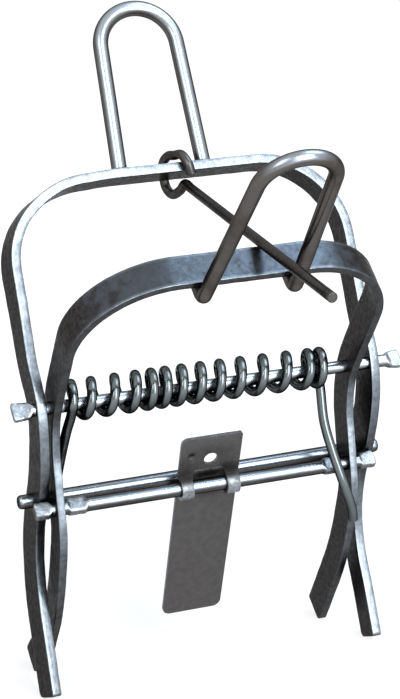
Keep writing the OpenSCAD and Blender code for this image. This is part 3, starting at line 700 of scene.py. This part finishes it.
WELD = steel("weld_steel", (0.06, 0.055, 0.05), (0.2, 0.2, 0.21), (0.5, 0.5, 0.52), patch=0.002, rough=0.35,
             pit=0.0012, pits=0.6, bump=0.5, seed=6.0)


def done(piece, finish, body, node):
    """Gives a piece its finish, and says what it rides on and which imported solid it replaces."""
    piece.data.materials.clear()
    piece.data.materials.append(finish)
    if body:
        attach(piece, body)
    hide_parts(node)
    return piece


# ---------------------------------------------------------------- pieces
done(flat_bar("rear_flat_bar", REAR_OUT, REAR_TOP, REAR_CORNER, REAR_T, REAR_BACK, REAR_LEAN, REAR_LINE, 0.0,
              TIP_HIGH, TIP_LOW,
              left_turn=((-107, 11), (-80, 10.5), (-56, 8), (-30, 5), (0, 3), (45, 7.5), (60, 6), (68, 0)),
              right_turn=((-40, 0), (-28, -7), (-12, -7), (5, 0)),
              left_out=((-107, 1.3), (-60, 0.4), (-30, 0), (0, 0), (15, 0.55), (60, 0.6), (68, 0)),
              right_out=((-80, 0), (-50, -0.3), (-25, -0.7), (-8, -0.4), (5, 0)),
              sag=((-62, 0), (-48, 0.8), (-34, 0.7), (-20, 0))),
     BAR, "rear_jaw", "rear_frame")
done(flat_bar("front_flat_bar", FRONT_HALF, FRONT_TOP, FRONT_CORNER, FRONT_T, FRONT_BACK, -FRONT_LEAN, FRONT_LINE,
              FRONT_MID, TIP_LOW, TIP_HIGH, left_out=((-107, 3.9), (-92, 0.4), (-80, 0))),
     BAR, "front_jaw", "front_frame")

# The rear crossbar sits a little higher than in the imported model, with its right end up
x = REAR_OUT + REAR_BAR_OUT
rear_bar = hammered("rear_stop_bar", -x, x, REAR_BAR[0], REAR_BAR[1] + REAR_BAR_LIFT, BAR_D, [], 1.4, 0.0)
middle = Matrix.Translation(STAND @ Vector((0, *REAR_BAR)))
rear_bar.data.transform(middle @ Matrix.Rotation(rad(-REAR_BAR_TILT), 4, "Y") @ middle.inverted())
done(rear_bar, ROD, "rear_jaw", "rear_crossbar")
x0, x1 = -REAR_OUT - 1.9, REAR_OUT - 0.8
done(hammered("front_stop_bar", x0, x1, FRONT_BAR[0], FRONT_BAR[1], BAR_D, [
    (x0 - 9, x0 + 5.2, CRIMP_W, CRIMP_T, 1.0), (LEFT_IN + 2.1, LEFT_IN + 8.0, CRIMP_W, CRIMP_T, 1.2),
    (RIGHT_IN - 8.5, RIGHT_IN - 3.4, CRIMP_W, CRIMP_T, 1.2), (RIGHT_OUT + 2.7, x1 + 9, CRIMP_W, CRIMP_T, 1.0)],
    0.6, 0.25), ROD, "front_jaw", "front_crossbar")
x0, x1 = -REAR_OUT - AXLE_LEFT, REAR_OUT + AXLE_RIGHT
done(hammered("axle_pin", x0, x1, 0, 0, AXLE_D, [
    (x0 - 9, -REAR_OUT - 0.8 - NECK_LEFT / 2, FAN_FROM * PADDLE_W, PADDLE_T, NECK_LEFT),
    (REAR_OUT + 3.2 + NECK_RIGHT / 2, x1 + 9, FAN_FROM * PADDLE_W, PADDLE_T, NECK_RIGHT)],
    0.5, 0.25, fan=FAN), AXLE, "rear_jaw", "hinge_axle")

ROD_TREE = bent_rod_tree()
SPRING_TREE = wound_spring_tree(ROD_TREE)


def loop(feet, height, bend, rod):
    """A U of rod upright on X: the round top between two legs, from the right to the left."""
    h = height - bend - rod / 2
    a = math.acos(bend / math.hypot(feet / 2, h)) - math.atan2(h, feet / 2)
    n = 40
    turns = [a + (math.pi - 2 * a) * i / n for i in range(n + 1)]
    return [Vector((bend * math.cos(w), 0, h + bend * math.sin(w))) for w in turns]


def dense(points, step):
    """The same line with points at most about a step apart."""
    out = []
    for a, b in zip(points, points[1:]):
        m = max(1, round((b - a).length / step))
        out += [a.lerp(b, i / m) for i in range(m)]
    return out + [points[-1]]


def in_hoop(x, back, lean, y, z):
    """Where a handle stands, on a leaning hoop."""
    return (STAND @ Matrix.Translation((x, back, 0)) @ Matrix.Rotation(-rad(lean), 4, "X")
            @ Matrix.Translation((0, y, z)))


def bent_rod(name, line, place, step, diameter, sides, finish):
    """A rod bent along a line, which place sets on the trap."""
    return by_nodes(name, eased([place @ q for q in dense(line, step)], ROD_EASE * MM), ROD_TREE, {
        "Diameter": diameter * MM, "Sides": sides, "End rounding": ROD_EASE * MM, "Finish": finish})


foot = Vector((REAR_FEET / 2, 0, 0))
line = [foot] + loop(REAR_FEET, REAR_LOOP, REAR_BEND, REAR_ROD) + [Vector((-foot.x, 0, 0))]
done(bent_rod("rear_grip_loop", line, in_hoop(REAR_LOOP_X, REAR_BACK, REAR_LEAN, 0, REAR_TOP), 1.5, REAR_ROD, 32,
              REAR_GRIP), REAR_GRIP, "rear_jaw", "rear_handle")

turn = rad(HANDLE_LEAN - FRONT_LEAN)
elbow = FRONT_ROD / 2 + 0.3
c, s = math.cos(turn), math.sin(turn)
up = [Vector((q.x, -q.z * s - elbow * c, q.z * c - elbow * s))
      for q in loop(FRONT_FEET, FRONT_LOOP, FRONT_BEND, FRONT_ROD)]
half = Vector((FRONT_FEET / 2, 0, 0))
bends = [(math.pi / 2 - turn) * i / 8 for i in range(9)]
foot = [half + Vector((0, STRIP_W * 0.75, -elbow))]
foot += [half - elbow * Vector((0, math.sin(w), math.cos(w))) for w in bends]
line = foot + up + [Vector((-q.x, q.y, q.z)) for q in reversed(foot)]
place = in_hoop(FRONT_LOOP_X, FRONT_BACK, -FRONT_LEAN, -STRIP_W / 2, FRONT_TOP - FRONT_T)
done(bent_rod("front_grip_loop", line, place, 1.5, FRONT_ROD, 32, GRIP),
     GRIP, "front_jaw", "front_handle")

# The spring. The line's middle points only carry their turn and how far along the coil they are.
# COARSE is the steps a turn that its spacing is added up over, and FINE the points a turn.
COARSE, FINE = 8, 40
# How close the wire's turns are led on past both ends of the coil
RIGHT_PITCH, LEFT_PITCH = 0.4, 0.5
# Where the turns lie closer: by which share, round which turn, and over how many turns
CLOSER = ((0.62, 0, 0.6), (0.2, 0.385 * TURNS, 2), (0.44, 0.635 * TURNS, 1.75), (0.27, TURNS - 1, 0.6))


def openness(u):
    """How far apart the turns lie at turn u."""
    gap = 1.0
    for share, middle, wide in CLOSER:
        gap -= share * math.exp(-((u - middle) / wide) ** 2)
    return gap


total = COARSE * TURNS
sums = [0.0]
for i in range(total):
    sums.append(sums[-1] + openness((i + 0.5) / COARSE - 0.5))


def reach(i):
    """How far along the coil step i lies, from 0 at its right end to 1 at its left end."""
    if i < 0:
        return i * RIGHT_PITCH / sums[total]
    if i >= total:
        return (sums[total] + (i - total) * LEFT_PITCH) / sums[total]
    k = int(i)
    return (sums[k] + (sums[k + 1] - sums[k]) * (i - k)) / sums[total]


COIL_R = (SPRING_D - SPRING_WIRE) / 2 * COIL_GROWTH
COIL_RIGHT, COIL_LEFT = RIGHT_IN - SPRING_RIGHT, LEFT_IN + SPRING_LEFT


def coil_point(i):
    """The middle of the wire at step i."""
    w = 2 * math.pi * i / COARSE
    r = reach(i)
    return Vector((COIL_RIGHT - (COIL_RIGHT - COIL_LEFT) * r, -COIL_R * math.sin(w),
                   SPRING_LIFT + COIL_TILT * (r - 0.5) + 4 * COIL_BOW * r * (1 - r) + COIL_R * math.cos(w)))


# How far the legs' wire stands off what it bears on, and how low it bears on the front frame
LEG_GAP = SPRING_WIRE / 2 + 0.35
BEAR = -LEG_DROP * 0.53


def before_front(z):
    """Y of the wire that lies before the front frame's leg, at height z."""
    return y_at(FRONT_FORE, z) - LEG_GAP * slant(FRONT_FORE, z)


right_leg = curve([(RIGHT_IN + 0.8, before_front(BEAR), BEAR),
                   (RIGHT_IN - 0.5, before_front(BEAR + 5.5), BEAR + 5.5),
                   (RIGHT_IN - 4.0, before_front(-FRONT_DROP - 4), -FRONT_DROP - 4),
                   (RIGHT_IN - 6.6, FRONT_BAR[0] - 4, -FRONT_DROP + 7), (RIGHT_IN - 8.1, 0, -FRONT_DROP / 2 - 1),
                   (COIL_RIGHT + 1.4, COIL_R * 0.62, SPRING_LIFT - 9), coil_point(-2)], 10)
left_leg = curve([coil_point(total + 2), (LEFT_IN + 4, -COIL_R * 0.3, SPRING_LIFT - 5.4),
                  (LEFT_IN + 3.4, 2, SPRING_LIFT - 11.2), (LEFT_IN + 2.6, REAR_BAR[0] - 2.6, -REAR_DROP + 15.6),
                  (LEFT_IN + 2.1, REAR_BAR[0] + BAR_D / 2 + LEG_GAP, -REAR_DROP + 2.4),
                  (LEFT_IN + 2.1, REAR_BAR[0] + BAR_D / 2 + LEG_GAP + 0.5, -REAR_DROP - 3.4)], 10)
steps = [-2 + (total + 4) * k / (FINE * TURNS) for k in range(FINE * TURNS + 1)]
line = eased([Vector(q) for q in right_leg[:-1]] + [coil_point(i) for i in steps]
             + [Vector(q) for q in left_leg[1:]], ROD_EASE)
n_right = len(right_leg) - 1 + 4  # the right leg's points and those that ease its end
turns, reaches = [UNWOUND] * len(line), [0.0] * len(line)
for k, i in enumerate(steps):
    turns[n_right + k], reaches[n_right + k] = i / COARSE, reach(i)
spring = by_nodes("jaw_spring", [q * MM for q in line], SPRING_TREE, {
    "Wire": SPRING_WIRE * MM, "Coil radius": COIL_R * MM, "Right end": COIL_RIGHT * MM, "Left end": COIL_LEFT * MM,
    "Lift": SPRING_LIFT * MM, "Tilt": COIL_TILT * MM, "Bow": COIL_BOW * MM, "Finish": SPRING},
    {"turn": turns, "reach": reaches})
spring.data.transform(LEVEL)
done(spring, SPRING, None, "torsion_spring")
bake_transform(spring)

# The hook
REAR_HOOP = on_hoop(REAR_BACK, REAR_LEAN, REAR_TOP - REAR_T / 2)
FRONT_HOOP = on_hoop(FRONT_BACK, -FRONT_LEAN, FRONT_TOP - FRONT_T / 2)
HOOK_R = math.hypot(STRIP_W, REAR_T) / 2 + HOOK_WIRE / 2 + HOOK_GAP


def around(a, k, x):
    """A point of the curl round the rear hoop's bar, from its angle and its share of the radius."""
    return Vector((x + CURL_SHIFT, REAR_HOOP.x + k * HOOK_R * math.cos(rad(a)),
                   REAR_HOOP.y + k * HOOK_R * math.sin(rad(a)) - CURL_DROP))


across = Vector((math.cos(rad(FRONT_LEAN)), math.sin(rad(FRONT_LEAN))))
front_corner = FRONT_HOOP + STRIP_W / 2 * across + FRONT_T / 2 * Vector((-across.y, across.x))
crest = around(-152, 0.87, 4.7)
rest = Vector((5, front_corner.x, front_corner.y + HOOK_WIRE / 2 + 0.3))
ahead = (rest - crest).normalized()
curl = [around(*row) for row in (
    (178, 1.02, 6.4), (152, 1.06, 5.6), (120, 0.94, 4.5), (85, 0.71, 3.3), (48, 0.8, 2.2), (12, 0.99, 1.5),
    (-20, 1.03, 1.5), (-48, 1.16, 1.9), (-78, 1.08, 2.7), (-118, 0.86, 3.8))]
line = curve(curl + [crest, crest + 6 * ahead], 9) + [crest + HOOK_LEN * ahead]
done(bent_rod("setting_hook", line, STAND, 3.0, HOOK_WIRE, 28, WIRE), WIRE, "hook", "set_hook")


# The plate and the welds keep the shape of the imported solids, with eased edges
def eased_copy(node, name, width, segments=2, bare=None, moved=None):
    """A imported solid's mesh with its sharp edges bevelled. moved shifts its corners first, and bare
    says how bare each face is."""
    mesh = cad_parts[node].data.copy()
    bm = bmesh.new()
    bm.from_mesh(mesh)
    bmesh.ops.remove_doubles(bm, verts=bm.verts, dist=2e-6)
    bmesh.ops.dissolve_limit(bm, angle_limit=rad(1), verts=bm.verts, edges=bm.edges)
    for v in bm.verts if moved else []:
        v.co = moved(v.co)
    sharp = [e for e in bm.edges if len(e.link_faces) == 2 and e.calc_face_angle(0) > rad(35)]
    bmesh.ops.bevel(bm, geom=sharp, offset=width * MM, segments=segments, affect="EDGES", clamp_overlap=True,
                    profile=0.5)
    bmesh.ops.triangulate(bm, faces=[f for f in bm.faces if len(f.verts) > 4])
    bm.normal_update()
    marks = [bare(f) for f in bm.faces] if bare else None
    bm.to_mesh(mesh)
    bm.free()
    if marks:
        mesh.attributes.new("edge", "FLOAT", "FACE").data.foreach_set("value", marks)
    if "custom_normal" in mesh.attributes:
        mesh.attributes.remove(mesh.attributes["custom_normal"])
    mesh.name = name
    return smooth_piece(name, mesh, sharp=32)


ROD_AT = STAND @ Vector((0, *FRONT_BAR))
BEHIND = Vector((0, math.cos(rad(PLATE_TILT) + STANCE), math.sin(rad(PLATE_TILT) + STANCE)))
ALONG = Vector((0, -BEHIND.z, BEHIND.y))
SHEET_AT = BAR_D / 2 + LUG_GAP
BARE_BELOW, BARE_FADE = 0.8, 0.4


def before_sheet(p):
    """Whether a point lies on the rod's side of the sheet, so on a lug."""
    return (p - ROD_AT).dot(BEHIND) < (SHEET_AT - 0.02) * MM


def bare_sheet(face):
    """The lugs, which stand before the sheet and curl round the rod, are bare up to their tops, and
    so are the cut edges."""
    middle = face.calc_center_median()
    out = middle - ROD_AT
    if before_sheet(middle):
        high = out.z / math.hypot(out.y, out.z)
        return max(0.0, min(1.0, (BARE_BELOW - high) / BARE_FADE))
    return 0.8 if abs(face.normal.dot(BEHIND)) < 0.5 else 0.0


def slim_lug(p):
    """Before the sheet, the lugs are 1 to 1.4 mm narrower than at their roots, and lean to the left."""
    u = (p.x - ROD_AT.x) / MM - PLATE_X
    for side, shift in ((-LUG_OUT, -0.2), (-LUG_IN, -1.6), (LUG_IN, -0.3), (LUG_OUT, -1.3)):
        if before_sheet(p) and abs(u - side) < 0.3:
            return p + Vector((shift * MM, 0, 0))
    return p


# Painted shadow and old grease on the plate: middle across it and up it from the rod, reach across and up, strength.
# The first row is painted shadow on the sheet just above the rod, between the lugs; the others are grease stains.
n, shader = Nodes(SHEET.node_tree), SHEET.node_tree.nodes["Principled BSDF"].inputs
for u, v, wide, high, strength in ((0, 3.1, 7.0, 1.9, 1.0), (-7.2, 12.4, 1.8, 1.6, 0.9), (8.0, 5.0, 5.0, 3.2, 0.6),
                                   (-9.5, 6.5, 4.5, 7.0, 0.35), (1.0, -5.5, 8.0, 3.6, 0.45),
                                   (0, 9.0, 17.0, 10.0, 0.3)):
    spot = n.add("ShaderNodeGroup", {
        "Under": shader["Base Color"].links[0].from_socket, "Strength": strength,
        "Place": ROD_AT + (SHEET_AT * BEHIND + v * ALONG + Vector((PLATE_X + u, 0, 0))) * MM,
        "Reach": (wide * MM, high * MM, high * MM)}, node_tree=SHADOW_AND_GREASE)
    n.link(spot.outputs["Color"], shader["Base Color"])

done(eased_copy("trigger_plate", "trigger_sheet", 0.25, bare=bare_sheet, moved=slim_lug),
     SHEET, "trigger", "trigger_plate")
done(eased_copy("rear_handle_welds", "rear_weld_beads", 0.1, 1), WELD, "rear_jaw", "rear_handle_welds")
done(eased_copy("front_handle_welds", "front_weld_beads", 0.1, 1),
     WELD, "front_jaw", "front_handle_welds")


# ---------------------------------------------------------------- floor, light and camera
def seen_by(n):
    """1 for what the camera sees, straight or in the steel, and 0 for the light that falls on it."""
    ray = n.add("ShaderNodeLightPath").outputs
    inside = n.math("MAXIMUM", ray["Is Glossy Ray"], ray["Is Transmission Ray"])
    return n.math("MAXIMUM", ray["Is Camera Ray"], inside)


# The floor's reach and grey, how it glows at the trap, and from where to where it gets white; the
# share of the white sky that lights the trap
FLOOR, FLOOR_GREY, FLOOR_GLOW, GLOW_FROM, GLOW_TO = 6, 0.45, 0.78, 0.15, 0.6
SKY_FILL = 0.12
floor_mesh = bpy.data.meshes.new("floor")
corners = [(x * FLOOR, y * FLOOR, 0) for x, y in ((-1, -1), (1, -1), (1, 1), (-1, 1))]
floor_mesh.from_pydata(corners, [], [(0, 1, 2, 3)])
floor = in_scene("floor", floor_mesh)
m = bpy.data.materials.new("pale_floor")
m.use_nodes = True
n, shader = Nodes(m.node_tree), m.node_tree.nodes["Principled BSDF"].inputs
shader["Base Color"].default_value = (FLOOR_GREY, FLOOR_GREY, FLOOR_GREY, 1)
shader["Roughness"].default_value = 0.9
shader["Specular IOR Level"].default_value = 0.0
shader["Emission Color"].default_value = (1, 1, 1, 1)
far = n.add("ShaderNodeVectorMath", {0: n.place()}, operation="LENGTH").outputs["Value"]
n.link(n.math("MULTIPLY", seen_by(n), n.ramp(far, GLOW_FROM, GLOW_TO, FLOOR_GLOW)), shader["Emission Strength"])
floor_mesh.materials.append(m)

world = bpy.data.worlds.new("studio")
world.use_nodes = True
bpy.context.scene.world = world
world.node_tree.nodes.clear()
n = Nodes(world.node_tree)
strength = n.add("ShaderNodeMix", {0: seen_by(n), 2: SKY_FILL, 3: 1.0}, data_type="FLOAT").outputs[0]
sky = n.add("ShaderNodeBackground", {"Color": (1, 1, 1, 1), "Strength": strength})
n.link(sky.outputs[0], n.add("ShaderNodeOutputWorld").inputs[0])


LAMPS_LOOK_AT, LAMPS_OFF = Vector((0, 0, 0.12)), 1.1


def lamp(name, toward, size, glow, colour=(0.92, 0.97, 1.0)):
    """A soft panel that looks at the trap from a direction. glow is its brightness, where white
    is 1, and size its width and height in metres."""
    light = bpy.data.lights.new(name, "AREA")
    light.shape = "RECTANGLE"
    light.size, light.size_y = size
    light.energy = glow * math.pi * size[0] * size[1]
    light.color = colour
    panel = in_scene(name, light)
    panel.location = LAMPS_LOOK_AT + Vector(toward).normalized() * LAMPS_OFF
    panel.rotation_euler = (-Vector(toward)).to_track_quat("-Z", "Y").to_euler()
    panel.visible_camera = False


lamp("window", (0.19, -0.836, 0.515), (0.62, 0.75), 5.5)
lamp("left_window", (-0.609, -0.548, 0.574), (0.4, 0.7), 4.0)
lamp("low_window", (0.22, -0.97, 0.08), (0.62, 0.4), 4.5)
lamp("skylight", (0.5, -0.08, 0.86), (0.6, 0.6), 5.0, (0.6, 0.8, 1.0))

# The lens and the camera's place and turn, in the sizes' own directions
LENS, EYE_AT = 1982.06 / 699 * 36, Vector((-218.3, -611.35, 213.91))
EYE_RIGHT, EYE_UP = Vector((0.9397, -0.3407, -0.0303)), Vector((0.128, 0.2682, 0.9548))
EYE_AHEAD = Vector((0.3172, 0.9011, -0.2956))
camera = bpy.data.cameras.new("camera")
camera.sensor_width, camera.lens = 36, LENS
camera.clip_start, camera.clip_end = 0.01, 20
eye = in_scene("camera", camera)
turned = Matrix((EYE_RIGHT, EYE_UP, -EYE_AHEAD)).transposed().to_4x4()
eye.matrix_world = LEVEL @ Matrix.Translation(EYE_AT * MM) @ turned
bpy.context.scene.camera = eye
bpy.context.scene.view_settings.view_transform = "Standard"
